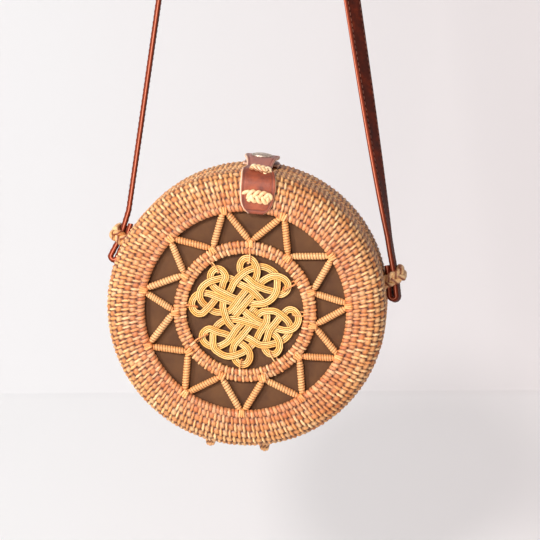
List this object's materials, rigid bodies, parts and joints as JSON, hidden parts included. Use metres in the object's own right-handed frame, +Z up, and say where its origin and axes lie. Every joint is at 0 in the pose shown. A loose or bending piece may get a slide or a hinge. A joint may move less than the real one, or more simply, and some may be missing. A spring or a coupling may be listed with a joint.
{
  "type": "handbag",
  "caption": "Round woven cane handbag with an open star face, a knotted cane centre, a leather snap tab and a long leather shoulder strap, closed and hanging.",
  "frame": {"origin": "the hang point: under the top bend of the strap, where a hook or peg carries the bag", "axes": "+Z up, -Y out of the front (star) face's side, +X to the right as seen from the front"},
  "size_m": [0.2177, 0.123, 0.737],
  "materials": {
    "rattan": "split cane with a thin clear varnish",
    "knot_cane": "smooth polished cane",
    "lining_cloth": "plain woven cloth",
    "tab_leather": "smooth, slightly waxed",
    "strap_leather": "smooth, stitched, with tan edges",
    "snap_metal": "antique, dark"
  },
  "bodies": {
    "strap": {"strap": "strap_leather"},
    "back_half": {"back_shell": "rattan", "back_edge_binding": "rattan", "back_lining_panel": "lining_cloth", "back_lining_wall": "lining_cloth", "strap_loop_left": "rattan", "strap_loop_right": "rattan", "strap_end_left": "strap_leather", "strap_end_right": "strap_leather", "hinge_loop_left": "rattan", "hinge_loop_right": "rattan", "back_tab": "tab_leather", "back_tab_lacing": "knot_cane", "snap_stud": "snap_metal"},
    "front_half": {"front_shell": "rattan", "front_edge_binding": "rattan", "front_lining_panel": "lining_cloth", "front_lining_wall": "lining_cloth", "star_strut_01": "rattan", "star_strut_02": "rattan", "star_strut_03": "rattan", "star_strut_04": "rattan", "star_strut_05": "rattan", "star_strut_06": "rattan", "star_strut_07": "rattan", "star_strut_08": "rattan", "star_strut_09": "rattan", "star_strut_10": "rattan", "star_strut_11": "rattan", "star_strut_12": "rattan", "star_strut_13": "rattan", "star_strut_14": "rattan", "star_strut_15": "rattan", "star_strut_16": "rattan", "star_strut_17": "rattan", "star_strut_18": "rattan", "star_strut_19": "rattan", "star_strut_20": "rattan", "star_strut_21": "rattan", "star_strut_22": "rattan", "ring_outer_row": "rattan", "ring_inner_row": "rattan", "centre_knot": "knot_cane", "knot_tie_1": "rattan", "knot_tie_2": "rattan", "knot_tie_3": "rattan", "knot_tie_4": "rattan", "knot_tie_5": "rattan", "knot_tie_6": "rattan", "knot_tie_7": "rattan", "knot_tie_8": "rattan", "front_tab": "tab_leather", "upper_tab_lacing": "knot_cane", "lower_tab_lacing": "knot_cane"},
    "tab_flap": {"tab_flap": "tab_leather", "snap_cap": "snap_metal", "snap_socket": "snap_metal"}
  },
  "joints": [
    {"name": "bag_swing", "type": "hinge", "parent": "strap", "child": "back_half", "pos_m": [-0.00021, 0, -0.57049], "axis": [0.9867, 0, -0.1626], "range_deg": [-60, 60]},
    {"name": "front_hinge", "type": "hinge", "parent": "back_half", "child": "front_half", "pos_m": [-0.01569, 0.02131, -0.72336], "axis": [0.9944, -0.0141, -0.1045], "range_deg": [0, 110]},
    {"name": "tab_lift", "type": "hinge", "parent": "front_half", "child": "tab_flap", "pos_m": [0.00395, -0.04026, -0.52823], "axis": [0.9944, -0.0141, -0.1045], "range_deg": [0, 75]}
  ]
}
